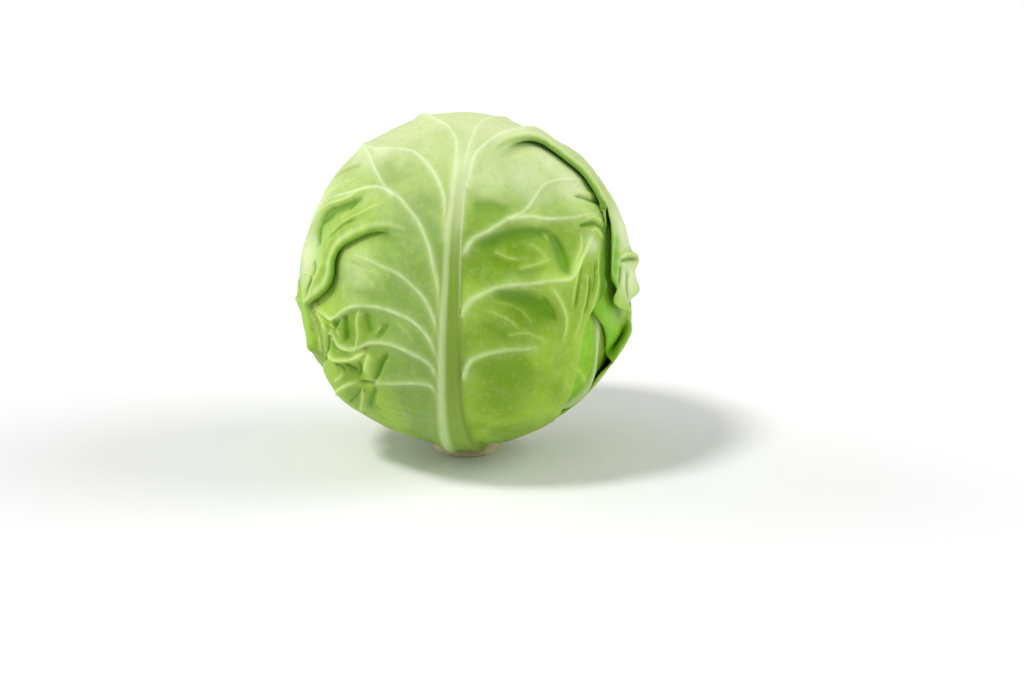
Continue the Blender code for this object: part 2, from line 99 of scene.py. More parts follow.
PLEAT_HALF_WIDTH = 0.0036
PLEAT_RELAX = 0.0150  # the fold's top comes down again over this distance
PLEAT_MARGIN = 0.0090  # nearer than this to the leaf's margin, a fold overlaps less
PLEAT_THINNING = 0.42
PLEAT_OPENS = 0.20  # the share of a fold's path over which it opens
PLEAT_CLOSES = 0.30  # and over which it dies away

# The meshes' grain. Rows of points follow the folds, creases and veins
FOLD_ROWS = np.arange(-2.6, 2.7, 0.26)  # in half widths of the fold
LINE_ROWS = np.array([-1.3, -0.65, 0.0, 0.65, 1.3])  # in half widths of the line
LINE_STEP = 0.0009
WIDEST_LINE = 0.0012
FOLD_STEP = 0.8  # this and the next three are shares of the leaf's spacing
ROW_GAP = 0.35
FILL_GAP = 0.55
HIDDEN_STEP = 3
HIDDEN = 0.97  # this much of another leaf hides the points under it
PATTERN_REACH = 120

# turns, height, phase
HEAD_LOBES = ((1.7, 0.0011, 0.4), (2.6, 0.0008, 2.1), (4.3, 0.0006, 4.0), (6.8, 0.0004, 1.2))
HEAD_BULGES = (  # longitude, latitude, reach in degrees, height
    (-76, -43, 20, 0.0046),
    (-103, 40, 24, 0.0030),
    (93, 10, 16, 0.0015),
    (104, 43, 16, 0.0028),
    (125, 65, 24, -0.0010),
)


@dataclass
class Pleat:
    """A fold that starts inside a leaf and deepens along its path, and may open before the path's end."""

    path: list
    over: int  # the side that lies on top: 1 on the path's left, -1 on its right
    overlap: float
    rise: float
    half_width: float = PLEAT_HALF_WIDTH
    deepens: float = 0.30  # how far along the fold is at its deepest
    opens: float = 2.0  # how far along the fold has opened
    closes: float = 2.0  # how far along the fold has died away


@dataclass
class Leaf:
    """One wrapper leaf: where it sits, its flat pattern, and the round spots that swell or colour it."""

    name: str
    longitude: float
    outline: list
    spine: list
    veins: list
    pleats: list = field(default_factory=list)
    swells: list = field(default_factory=list)  # (across, along, radius, height), the last two in metres
    # Each crease is (path, half width, height), in millimetres. A fourth number says how much broader
    # it is on its left, or on its right if negative
    creases: list = field(default_factory=list)
    # These four are (across, along, radius in degrees, share)
    stains: list = field(default_factory=list)
    # greener spots, partly painted light shining through the thin leaf
    greens: list = field(default_factory=list)
    # pale spots: partly the leaf's paler tone, partly painted light
    pales: list = field(default_factory=list)
    # spots of painted shade, partly a deeper olive green
    shades: list = field(default_factory=list)
    spacing: float = 0.00145
    finish: str = "outer_leaf"
    seed: int = 0


# ---- the pattern's geometry


def smooth(points, step=1.0, closed=False):
    """Points about this far apart, in degrees, on the smooth curve through the given ones."""
    p = np.array(points, float)
    if closed:
        p = np.vstack([p[-1], p, p[0], p[1]])
    else:
        p = np.vstack([2 * p[0] - p[1], p, 2 * p[-1] - p[-2]])
    found = []
    for a, b, c, d in zip(p, p[1:], p[2:], p[3:]):
        t = np.linspace(0, 1, max(2, round(np.linalg.norm(c - b) / step)), endpoint=False)[:, None]
        found.append(
            0.5 * (2 * b + (c - a) * t + (2 * a - 5 * b + 4 * c - d) * t**2 + (3 * (b - c) + d - a) * t**3)
        )
    curve = np.vstack(found)
    return curve if closed else np.vstack([curve, p[-2]])


def nearest(path, points, closed=False):
    """For each point: its distance to the path, its side (1 on the left), and how far along it lies."""
    start = path
    end = np.roll(path, -1, axis=0)
    if not closed:
        start, end = path[:-1], path[1:]
    run = end - start
    length = np.linalg.norm(run, axis=1)
    before = np.concatenate([[0], np.cumsum(length)])[:-1]
    best = np.full(len(points), np.inf)
    side = np.ones(len(points))
    along = np.zeros(len(points))
    for a, r, l, b in zip(start, run, length, before):
        x, y = points[:, 0] - a[0], points[:, 1] - a[1]
        t = np.clip((x * r[0] + y * r[1]) / l**2, 0, 1)
        x, y = x - t * r[0], y - t * r[1]
        distance = x * x + y * y
        closer = distance < best
        best[closer] = distance[closer]
        side[closer] = np.sign(r[0] * y[closer] - r[1] * x[closer])
        along[closer] = b + t[closer] * l
    return np.sqrt(best), side, along / length.sum()


def to_left(line):
    """The direction to the left of a line, at each of its points."""
    heading = np.gradient(line, axis=0)
    normal = np.column_stack([-heading[:, 1], heading[:, 0]])
    return normal / np.linalg.norm(normal, axis=1)[:, None]


def inside(outline, points):
    """True for the points that the closed outline goes round."""
    odd = np.zeros(len(points), bool)
    for a, b in zip(outline, np.roll(outline, -1, axis=0)):
        spans = (a[1] > points[:, 1]) != (b[1] > points[:, 1])
        if a[1] != b[1]:
            crossing = a[0] + (points[:, 1] - a[1]) * (b[0] - a[0]) / (b[1] - a[1])
            odd ^= spans & (points[:, 0] < crossing)
    return odd


def depth_inside(leaf, points):
    """Metres from the leaf's margin, positive on the leaf and negative off it."""
    outline = smooth(leaf.outline, 4.0, closed=True)
    distance = nearest(outline, points, closed=True)[0] * DEGREE
    return np.where(inside(outline, points), distance, -distance)


def ramp(t):
    """0 below 0, 1 above 1, and a smooth step between them."""
    t = np.clip(t, 0, 1)
    return t * t * (3 - 2 * t)


def bell(value, middle, breadth):
    """A smooth bump, 1 at its middle, that fades out over about twice its breadth."""
    return np.exp(-(((value - middle) / breadth) ** 2))


def direction_of(longitude, latitude):
    """The direction of a place on the head. Longitude 0 is the front, and 90 the right."""
    lon, lat = math.radians(longitude), math.radians(latitude)
    return np.array([math.sin(lon) * math.cos(lat), -math.cos(lon) * math.cos(lat), math.sin(lat)])


def degrees_from(middle, direction):
    """The angle between each direction and the middle one."""
    return np.degrees(np.arccos(np.clip(direction @ middle, -1, 1)))


def axes_of(longitude):
    """The directions of a leaf's middle, of its right and of its tip."""
    middle = direction_of(longitude, LEAF_LATITUDE)
    right = direction_of(longitude + 90, 0)
    return middle, right, np.cross(middle, right)


def directions(longitude, points):
    """From the pattern to directions on the ball."""
    middle, right, tip = axes_of(longitude)
    angle = np.radians(np.hypot(points[:, 0], points[:, 1]))
    bearing = np.arctan2(points[:, 0], points[:, 1])
    outward = np.outer(np.sin(bearing), right) + np.outer(np.cos(bearing), tip)
    return np.cos(angle)[:, None] * middle + np.sin(angle)[:, None] * outward


def on_pattern(longitude, direction):
    """From directions on the ball to a leaf's pattern."""
    middle, right, tip = axes_of(longitude)
    angle = degrees_from(middle, direction)
    bearing = np.arctan2(direction @ right, direction @ tip)
    return np.column_stack([angle * np.sin(bearing), angle * np.cos(bearing)])


def clear_of_stalk(direction):
    """Directions inside the stalk's cone are moved out to its side."""
    level = np.hypot(direction[:, 0], direction[:, 1])
    least = math.sin(math.radians(STALK_ANGLE + CLEARANCE_ANGLE))
    hit = (level < least) & (direction[:, 2] < 0)
    moved = direction.copy()
    moved[hit, :2] *= (least / np.maximum(level[hit], 1e-6))[:, None]
    moved[hit, 2] = -math.sqrt(1 - least**2)
    return moved


def head_radius(direction):
    """The ball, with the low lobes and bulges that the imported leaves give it."""
    radius = np.full(len(direction), BALL_RADIUS)
    for turns, height, phase in HEAD_LOBES:
        axis = np.array([math.sin(phase * 3), math.cos(phase * 5), math.sin(phase * 7)])
        radius += height * np.sin(turns * 2 * direction @ axis + phase)
    for longitude, latitude, reach, height in HEAD_BULGES:
        away = degrees_from(direction_of(longitude, latitude), direction)
        radius += height * bell(away, 0, reach)
    return radius


def covers(leaves, direction):
    """How many of these leaves lie over each direction, fading out beyond their margins."""
    count = np.zeros(len(direction))
    for leaf in leaves:
        depth = depth_inside(leaf, on_pattern(leaf.longitude, direction))
        count += ramp(1 + (depth + COVER_HOLD) / COVER_FADE)
    return count


def rib_half_width(points, along):
    """Half the midrib's width in degrees of the pattern, which is drawn too wide far from its middle."""
    width = np.interp(along, np.linspace(0, 1, len(RIB_WIDTHS)), RIB_WIDTHS)
    return width / DEGREE / np.sinc(np.hypot(points[:, 0], points[:, 1]) / 180)


def wander(points, size, seed):
    """Smooth noise over a pattern, about -1 to 1, with features of this size in degrees."""
    return np.array([noise.noise(Vector((x, y, seed * NOISE_SPACING))) for x, y in (points / size).tolist()])


# ---- the leaf's relief


def bend_at(leaf, points):
    """How far the veins and creases wander from their drawn paths, in degrees."""
    return BEND * np.column_stack([wander(points, BEND_SIZE, leaf.seed + i) for i in (1, 2)])


# Places across the midrib and their breadths, in half widths, positive on its left
RIB_CREST = (0.50, 0.30)
RIB_EDGE = (-0.80, 0.13)
RIB_EDGE_HEIGHT = 0.12  # as a share of the crest's


def rib_relief(leaf, points):
    """The midrib's height, its mask, and where each point lies across and along it.

    It is a rounded ridge on its left, and a flat with a low edge on its right.
    """
    distance, side, along = nearest(smooth(leaf.spine), points)
    height = np.interp(along, np.linspace(0, 1, len(RIB_HEIGHTS)), RIB_HEIGHTS)
    across = side * distance / rib_half_width(points, along)
    fade = 0.25 + 0.75 * ramp((1 - along) / 0.10)
    left = ramp((1.75 - across) / 1.20)
    right = ramp((1.05 + across) / 0.22)
    ridge = bell(across, *RIB_CREST)
    edge = RIB_EDGE_HEIGHT * bell(across, *RIB_EDGE)
    height *= fade * left * right * (0.62 + 0.38 * np.maximum(ridge, edge))
    mask = ramp((1.30 - across) / 0.60) * ramp((1.08 + across) / 0.14) * fade
    return height, mask, across, along


def vein_relief(leaf, points, bend):
    """The side veins' height, the height of the blade that rises to meet them, and masks for their colour."""
    ridge, tent, line, halo = np.zeros((4, len(points)))
    for path in leaf.veins:
        distance, _, along = nearest(smooth(path), points + bend)
        distance = distance * DEGREE
        fade = (1 - VEIN_TAPER * along) * ramp((1 - along) / 0.20)
        width = VEIN_WIDTH * (1.30 - 0.60 * along)
        ridge = np.maximum(ridge, VEIN_HEIGHT * fade * bell(distance, 0, width))
        tent = np.maximum(tent, TENT_HEIGHT * (0.35 + 0.65 * fade) * np.exp(-distance / TENT_REACH))
        line = np.maximum(line, fade * bell(distance, 0, 0.82 * width))
        halo = np.maximum(halo, fade * np.exp(-distance / HALO_REACH))
    return ridge, tent, line, halo


# Where each part of a fold lies and how broad it is. These are turns: places across the fold, in half
# widths from its path, positive on the side that lies on top
# Their colours: painted shade on the lip's rolled face, a painted highlight on the rim, and a painted shadow
# under the fold
FOLD_MASKS = {"lip": (0.95, 0.42), "rim": (1.70, 0.35), "under": (-0.90, 1.05)}
FOLD_THIN = (0.8, 2.2)  # where the blade is thinner
FOLD_RIM = (1.50, 0.36, 0.0006)  # the fold's crest, and its height
FOLD_GROOVE = (-1.40, 1.00, -0.0008)  # the blade in front of the fold, and its height
TOP_START, TOP_SPAN = -0.5, 1.9  # where the fold's top starts to rise, and over how much


def pleated(leaf, points, shown):
    """Folds the pattern where it shows.

    Gives where the points end up, their lift, the share of the blade's thickness that is left, and the
    folds' masks.
    """
    moved = points.copy()
    lift = np.zeros(len(points))
    thin = np.ones(len(points))
    folds = {name: np.zeros(len(points)) for name in FOLD_MASKS}
    slack = 0.4 + 0.6 * ramp(depth_inside(leaf, points) / PLEAT_MARGIN)
    for pleat in leaf.pleats:
        line = smooth(pleat.path)
        distance, side, along = nearest(line, points)
        step = np.linalg.norm(np.diff(line, axis=0), axis=1)
        stations = np.concatenate([[0], np.cumsum(step)]) / step.sum()
        outward = [np.interp(along, stations, component) for component in to_left(line).T]
        outward = pleat.over * np.column_stack(outward)
        strength = ramp(along / pleat.deepens) * ramp((pleat.closes - along) / PLEAT_CLOSES)
        strength *= np.clip(2 * shown - 1, 0, 1)
        offset = pleat.over * side * distance * DEGREE
        turn = offset / pleat.half_width
        shut = ramp((pleat.opens - along) / PLEAT_OPENS)
        overlap = pleat.overlap * strength * slack * shut
        moved -= outward * (overlap * turn * np.exp(-(turn**2) / 2) / DEGREE)[:, None]
        top = ramp((turn - TOP_START) / TOP_SPAN) * bell(np.maximum(offset, 0), 0, PLEAT_RELAX)
        lift += pleat.rise * np.sqrt(strength) * top * (0.45 + 0.55 * shut)
        for place, breadth, height in (FOLD_RIM, FOLD_GROOVE):
            lift += height * np.sqrt(strength) * bell(turn, place, breadth)
        thin -= PLEAT_THINNING * bell(turn, *FOLD_THIN)
        for name, (place, breadth) in FOLD_MASKS.items():
            folds[name] = np.maximum(folds[name], np.sqrt(strength) * bell(turn, place, breadth))
    return moved, lift, thin, folds


def crease_relief(leaf, points):
    """Grooves and sharper ridges in the blade, fading in and out along their paths."""
    height = np.zeros(len(points))
    for path, half_width, rise, *slope in leaf.creases:
        distance, side, along = nearest(smooth(path), points)
        if slope:
            distance = np.where(side * slope[0] > 0, distance / abs(slope[0]), distance)
        taper = ramp(0.15 + along / 0.25) * ramp(0.15 + (1 - along) / 0.30)
        sharpness = 1.25 if rise > 0 else 2
        height += rise / 1000 * taper * np.exp(-((distance * DEGREE * 1000 / half_width) ** sharpness))
    return height


def spots(points, places):
    """A mask of round spots: (across, along, radius in degrees, share)."""
    mask = np.zeros(len(points))
    for across, along, radius, share in places:
        distance = np.hypot(points[:, 0] - across, points[:, 1] - along)
        mask = np.maximum(mask, share * bell(distance, 0, radius))
    return mask


def drape(leaf, over, points):
    """The leaf's outer face in metres, its thickness, and the masks that colour it."""
    covered = covers(over, directions(leaf.longitude, points))
    moved, lift, thin, folds = pleated(leaf, points, 1 - np.clip(covered, 0, 1))
    direction = clear_of_stalk(directions(leaf.longitude, moved))
    covered = covers(over, direction)
    shown = 1 - (1 - COVERED_RELIEF) * np.clip(covered, 0, 1)
    bend = bend_at(leaf, points)
    rib, rib_mask, rib_across, rib_along = rib_relief(leaf, points + RIB_BEND * bend)
    ridge, tent, line, halo = vein_relief(leaf, points, bend)
    relief = np.maximum(rib, ridge) * shown
    for across, along, radius, height in leaf.swells:
        distance = np.hypot(points[:, 0] - across, points[:, 1] - along) * DEGREE
        lift += height * shown * bell(distance, 0, radius)
    off_rib = 1 - rib_mask
    creases = crease_relief(leaf, points + bend)
    uneven = sum(height * wander(points, size, leaf.seed + i) for i, size, height in UNEVENNESS)
    lift += (uneven + creases + tent - TENT_HEIGHT / 3) * off_rib * shown
    lift = np.where(lift < 0, DEEPEST_HOLLOW * np.tanh(lift / DEEPEST_HOLLOW), lift)
    depth = depth_inside(leaf, points)
    tuck = MARGIN_TUCK * np.exp(-np.maximum(depth, 0) / MARGIN_TUCK_REACH)
    radius = head_radius(direction) - LAYER_STEP * covered + relief + lift - tuck - INSET
    place = direction * radius[:, None] + (0, 0, BALL_HEIGHT)
    masks = {
        "rib": rib_mask,
        "rib_across": rib_across,
        "rib_along": rib_along,
        "vein": line,
        "halo": halo,
        # painted highlight on the crests, and painted shade in the hollows
        "crest": np.clip(creases / CREST_HEIGHT, 0, 1),
        "hollow": np.clip(-creases / HOLLOW_DEPTH, 0, 1),
        # the margin's greener colour, partly painted light shining through the thin edge
        "margin": np.exp(-np.maximum(depth, 0) / MARGIN_REACH),
        "stain": spots(points, leaf.stains),
        # greener spots, partly painted light shining through the thin leaf
        "green": spots(points, leaf.greens),
        # pale spots, partly painted light
        "pale_and_painted_light": spots(points, leaf.pales),
        # spots of painted shade, partly a deeper olive green
        "shaded": spots(points, leaf.shades),
        "across": points[:, 0],
        "along": points[:, 1],
        **folds,
    }
    return place, BLADE * thin + relief, masks


# ---- meshes


def rows_beside(path, offsets, step):
    """Rows of points along a path, at these distances to its sides, in degrees."""
    line = smooth(path, step)
    left = to_left(line)
    return np.vstack([line + left * offset for offset in offsets])


def lattice(step):
    """A triangular lattice over the whole pattern."""
    columns = np.arange(-PATTERN_REACH, PATTERN_REACH, step)
    rows = np.arange(-PATTERN_REACH, PATTERN_REACH, step * math.sqrt(0.75))
    return np.array([(x + step / 2 * (i % 2), y) for i, y in enumerate(rows) for x in columns])


def spread_out(groups):
    """The groups' points in turn, without those nearer than the group's distance to one before."""
    cell = max(least for _, least in groups)
    taken = {}
    found = []
    for group, least in groups:
        for x, y in group.tolist():
            column, row = math.floor(x / cell), math.floor(y / cell)
            near = [taken.get((column + i, row + j), ()) for i in (-1, 0, 1) for j in (-1, 0, 1)]
            if all((x - a) ** 2 + (y - b) ** 2 > least**2 for places in near for a, b in places):
                taken.setdefault((column, row), []).append((x, y))
                found.append((x, y))
    return found


def pattern_mesh(leaf, over):
    """The flat leaf as triangles: finest along its lines, and coarse where another leaf covers it."""
    step = leaf.spacing / DEGREE
    outline = smooth(leaf.outline, step, closed=True)
    guides = [rows_beside(p.path, FOLD_ROWS * p.half_width / DEGREE, step * FOLD_STEP) for p in leaf.pleats]
    lines = [(path, half_width / 1000) for path, half_width, *_ in leaf.creases]
    lines += [(path, VEIN_WIDTH) for path in leaf.veins]
    for path, half_width in lines:
        rows = rows_beside(path, LINE_ROWS * min(half_width, WIDEST_LINE) / DEGREE, LINE_STEP / DEGREE)
        guides.append(rows - bend_at(leaf, rows))
    fine, coarse = lattice(step), lattice(step * HIDDEN_STEP)
    hidden = [covers(over, directions(leaf.longitude, group)) > HIDDEN for group in (fine, coarse)]
    fill = np.vstack([fine[~hidden[0]], coarse[hidden[1]]])
    groups = [(guide, ROW_GAP * step) for guide in guides] + [(fill, FILL_GAP * step)]
    groups = [(group[inside(outline, group)], least) for group, least in groups]
    found = spread_out([(outline, 0), *groups])
    edges = [(i, (i + 1) % len(outline)) for i in range(len(outline))]
    result = delaunay_2d_cdt([Vector(p) for p in found], edges, [], 1, 1e-5)
    return np.array([tuple(v) for v in result[0]]), result[2]


def add_masks(mesh, masks):
    """The masks as attributes, which the material reads."""
    for name, values in masks.items():
        attribute = mesh.attributes.new(name, "FLOAT", "POINT")
        attribute.data.foreach_set("value", np.asarray(values, np.float32))


def make_leaf(leaf, over, finish):
    """The leaf: its outer face, thickened inwards."""
    points, triangles = pattern_mesh(leaf, over)
    place, thickness, masks = drape(leaf, over, points)
    mesh = bpy.data.meshes.new(leaf.name + "_blade")
    mesh.from_pydata(place.tolist(), [], [tuple(t) for t in triangles])
    add_masks(mesh, masks)
    mesh.shade_smooth()
    mesh.materials.append(finish)
    made = bpy.data.objects.new(leaf.name + "_blade", mesh)
    bpy.context.scene.collection.objects.link(made)
    weights = made.vertex_groups.new(name="thickness")
    for i, t in enumerate(thickness / thickness.max()):
        weights.add([i], t, "REPLACE")
    solid = made.modifiers.new("Blade", "SOLIDIFY")
    solid.thickness = thickness.max()
    solid.vertex_group = weights.name
    solid.offset = -1
    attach(made, "root")
    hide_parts(leaf.name)


# ---- materials


class Nodes:
    """A material, and short names for making its nodes."""

    def __init__(self, name):
        self.material = bpy.data.materials.new(name)
        self.material.use_nodes = True
        self.tree = self.material.node_tree
        self.shader = self.tree.nodes["Principled BSDF"]

    def node(self, kind, inputs=None, **settings):
        made = self.tree.nodes.new(kind)
        for key, value in settings.items():
            setattr(made, key, value)
        for key, value in (inputs or {}).items():
            self.feed(made.inputs[key], value)
        return made

    def feed(self, socket, value):
        if isinstance(value, bpy.types.NodeSocket):
            self.tree.links.new(value, socket)
        else:
            socket.default_value = value

    def done(self, inputs):
        """Feeds the shader, and gives the material."""
        for key, value in inputs.items():
            self.feed(self.shader.inputs[key], value)
        return self.material

    def mask(self, name):
        return self.node("ShaderNodeAttribute", attribute_name=name).outputs["Fac"]

    def place(self, x, y):
        return self.node("ShaderNodeCombineXYZ", {"X": x, "Y": y, "Z": 0.0}).outputs[0]

    def math(self, operation, *values):
        made = self.node("ShaderNodeMath", operation=operation)
        for socket, value in zip(made.inputs, values):
            self.feed(socket, value)
        return made.outputs[0]

    def times(self, a, b):
        return self.math("MULTIPLY", a, b)

    def vector_math(self, operation, *values):
        return self.node("ShaderNodeVectorMath", dict(enumerate(values)), operation=operation)

    def mix(self, share, a, b):
        made = self.node("ShaderNodeMix", data_type="RGBA")
        for index, value in ((0, share), (6, a), (7, b)):
            if isinstance(value, tuple):
                value = (*value, 1)
            self.feed(made.inputs[index], value)
        return made.outputs[2]

    def tint(self, colour, mask, strength, other):
        """The colour, with another one laid over it by a mask."""
        return self.mix(self.times(mask, strength), colour, other)

    def tints(self, colour, table):
        for name, strength, other in table:
            colour = self.tint(colour, self.mask(name), strength, other)
        return colour

    def noise(self, where, scale, detail=3.0, rough=0.55, distort=0.0):
        inputs = {"Vector": where, "Scale": scale, "Detail": detail}
        inputs |= {"Roughness": rough, "Distortion": distort}
        return self.node("ShaderNodeTexNoise", inputs).outputs["Fac"]

    def between(self, value, low, high, to_low=0.0, to_high=1.0):
        inputs = {"Value": value, "From Min": low, "From Max": high, "To Min": to_low, "To Max": to_high}
        return self.node("ShaderNodeMapRange", inputs, interpolation_type="SMOOTHSTEP").outputs["Result"]

    def cell_edges(self, where, scale, width):
        """Thin lines between irregular cells."""
        inputs = {"Vector": where, "Scale": scale}
        cells = self.node("ShaderNodeTexVoronoi", inputs, feature="DISTANCE_TO_EDGE")
        return self.between(cells.outputs["Distance"], width, 0.0)


def srgb(*levels):
    """A colour as a screen shows it, 0 to 255, made linear."""
    shares = [level / 255 for level in levels]
    return tuple(s / 12.92 if s < 11 / 255 else ((s + 0.055) / 1.055) ** 2.4 for s in shares)


LEAF_COLOURS = {
    "outer_leaf": {
        "fresh": srgb(156, 193, 54),
        "pale": srgb(207, 220, 161),
        "deep": srgb(118, 158, 12),
        "vein": srgb(212, 230, 166),
        # the bloom's colour, darker than the blade partly as painted shade
        "bloom_and_shade": srgb(126, 157, 80),
    },
    "inner_leaf": {
        "fresh": srgb(124, 190, 10),
        "pale": srgb(160, 212, 50),
        "deep": srgb(96, 164, 4),
        "vein": srgb(180, 220, 90),
        "bloom_and_shade": srgb(150, 204, 50),
    },
}
# Masks that colour the blade, in turn: how strongly, and with what
# Pale spots, partly painted light, and spots of painted shade, partly a deeper olive green
SPOT_LIGHT_AND_SHADE = (("pale_and_painted_light", 0.80, srgb(218, 230, 182)), ("shaded", 0.80, srgb(106, 144, 8)))
# Painted shade in the creases' hollows, and a painted highlight on their crests
CREASE_SHADE_AND_HIGHLIGHT = (("hollow", 0.85, srgb(92, 140, 4)), ("crest", 0.75, srgb(208, 233, 132)))
FOLD_LIGHT_AND_SHADE = (
    # a greener margin, partly painted light shining through the thin edge
    ("margin", 0.30, srgb(170, 206, 90)),
    # painted shade on the fold's rolled lip
    ("lip", 0.92, srgb(104, 156, 4)),
    # painted shadow under the fold's lip
    ("under", 0.95, srgb(78, 134, 2)),
    # a painted highlight on the fold's rim
    ("rim", 0.45, srgb(218, 238, 160)),
    # greener spots, partly painted light shining through the thin leaf
    ("green", 0.75, srgb(108, 178, 4)),
)
VEIN_TIP = srgb(230, 242, 200)
STAIN = srgb(108, 92, 20)
# the flat's darker green, partly painted shade
RIB_FLAT = srgb(122, 152, 46)
RIB_STRANDS = srgb(168, 194, 106)
# the ridge's paler colour, partly a painted highlight
RIB_RIDGE_HIGHLIGHT = srgb(182, 204, 138)
# painted shade along the rib's right edge, near its foot
RIB_EDGE_SHADE = srgb(104, 124, 44)
RIB_EDGE_TIP = srgb(212, 228, 172)
RIB_TIP = srgb(216, 228, 176)
STALK_FLESH = srgb(226, 224, 186)
STALK_CLOUD = srgb(202, 196, 146)
STALK_STRANDS = srgb(150, 130, 78)
STALK_RIM = srgb(160, 150, 92)
BLOOM_MIDDLE = -13.0  # the waxy bloom, its colour darkened partly as painted shade, lies left of the midrib, in degrees across


def blade_colour(n, across, along, where, fresh, pale, deep, bloom_and_shade):
    """The blade between the veins: paler up, partly as painted light from above, greener out, with a bloom by
    the midrib, darkened partly as painted shade. Also its patches.
    """
    drift = n.noise(where, 0.045, 4.0, 0.5, 0.6)
    colour = n.mix(n.between(drift, 0.35, 0.65), deep, fresh)
    # Paler towards the tip: partly the leaf's own tone, partly painted light from above
    height = n.math("ADD", along, n.math("MULTIPLY_ADD", drift, 26.0, -13.0))
    colour = n.mix(n.between(height, 6.0, 62.0), colour, pale)
    patches = n.noise(where, 0.14, 5.0, 0.6, 0.4)
    colour = n.tint(colour, n.between(patches, 0.45, 0.72), 0.14, pale)
    far = n.between(n.math("ABSOLUTE", across), 18.0, 62.0)
    colour = n.tint(colour, far, 0.40, fresh)
    # The pale spots, partly painted light, and the spots of painted shade
    colour = n.tints(colour, SPOT_LIGHT_AND_SHADE)

    # The waxy bloom beside the midrib, darkened partly as painted shade
    beside_rib = n.math("ABSOLUTE", n.math("ADD", across, -BLOOM_MIDDLE))
    bloom_and_shade_mask = n.times(n.between(beside_rib, 22.0, 2.0), n.between(along, 34.0, 4.0))
    streaks = n.noise(where, 0.30, 4.0)
    bloom_and_shade_mask = n.times(bloom_and_shade_mask, n.between(streaks, 0.25, 0.75, 0.45, 0.95))
    return n.mix(bloom_and_shade_mask, colour, bloom_and_shade), patches


def fine_net(n, where):
    """The lines of a coarse net that comes and goes, and of a finer one."""
    wobble = n.node("ShaderNodeTexNoise", {"Vector": where, "Scale": 0.5, "Detail": 2.0}).outputs["Color"]
    wobble = n.vector_math("MULTIPLY", wobble, (3.0, 3.0, 0.0)).outputs[0]
    bent = n.vector_math("ADD", where, wobble).outputs[0]
    shows = n.between(n.noise(where, 0.20, 3.0), 0.40, 0.65)
    return n.times(n.cell_edges(bent, 0.40, 0.09), shows), n.cell_edges(bent, 1.1, 0.16)


def rib_colour(n):
    """The midrib: a flat with pale strands, its green partly painted shade, and a dark edge of painted shade;
    a paler ridge, partly a painted highlight; and paler still at its tip.
    """
    across, along = n.mask("rib_across"), n.mask("rib_along")
    strands = n.between(n.noise(n.place(n.times(across, 4.0), along), 2.2, 3.0), 0.35, 0.65)
    colour = n.mix(n.times(strands, 0.14), RIB_FLAT, RIB_STRANDS)
    # The ridge paler, partly a painted highlight, and the right edge darker, painted shade
    ridge = n.times(n.between(across, 0.05, 0.42), n.between(across, 1.1, 0.6))
    colour = n.mix(ridge, colour, RIB_RIDGE_HIGHLIGHT)
    edge = n.times(n.between(across, -0.66, -0.80), n.between(across, -0.98, -0.88))
    edge_shade = n.mix(n.between(along, 0.45, 0.75), RIB_EDGE_SHADE, RIB_EDGE_TIP)
    colour = n.tint(colour, edge, 0.55, edge_shade)
    return n.mix(n.between(along, 0.62, 0.97), colour, RIB_TIP)


def leaf_material(name, fresh, pale, deep, vein, bloom_and_shade):
    """Leaf skin: the blade, a fine net, creases with painted shade and highlights, pale veins, the midrib,
    folds with painted shade and highlights, greener spots and stains.
    """
    n = Nodes(name)
    across, along = n.mask("across"), n.mask("along")
    where = n.place(across, along)
    colour, patches = blade_colour(n, across, along, where, fresh, pale, deep, bloom_and_shade)
    net, fine = fine_net(n, where)
    colour = n.tint(colour, net, 0.05, vein)
    colour = n.tint(colour, fine, 0.03, vein)
    mottle = n.noise(where, 0.42, 5.0, 0.62, 0.3)
    colour = n.tint(colour, n.between(mottle, 0.48, 0.30), 0.22, deep)
    colour = n.tint(colour, n.between(mottle, 0.52, 0.70), 0.16, pale)
    # painted shade in the hollows and a painted highlight on the crests
    colour = n.tints(colour, CREASE_SHADE_AND_HIGHLIGHT)
    vein = n.mix(n.between(along, 0.0, 55.0), vein, VEIN_TIP)
    colour = n.tint(colour, n.mask("halo"), 0.28, vein)
    worn = n.between(n.noise(where, 0.30, 2.0), 0.30, 0.65, 0.55, 0.88)
    colour = n.tint(colour, n.mask("vein"), worn, vein)
    colour = n.tint(colour, n.mask("rib"), 0.85, rib_colour(n))
    # painted shade, shadow and highlight on the folds, and painted light at the margin and in the greener
    # spots
    colour = n.tints(colour, FOLD_LIGHT_AND_SHADE)
    brown = n.times(n.mask("stain"), n.between(n.noise(where, 1.0, 3.0), 0.38, 0.58))
    colour = n.tint(colour, brown, 0.90, STAIN)

    relief = n.math("MULTIPLY_ADD", net, 0.04, n.times(n.noise(where, 2.2, 5.0, 0.6), 0.20))
    relief = n.math("MULTIPLY_ADD", fine, 0.02, relief)
    bump = n.node("ShaderNodeBump", {"Height": relief, "Strength": 0.30, "Distance": 0.0006})
    skin = {
        "Base Color": colour,
        "Normal": bump.outputs["Normal"],
        "Roughness": n.between(patches, 0.3, 0.7, 0.40, 0.54),
        "Specular IOR Level": 0.16,
        "Subsurface Weight": 0.25,
        "Subsurface Radius": (0.8, 1.0, 0.2),
        "Subsurface Scale": 0.0012,
    }
    return n.done(skin)


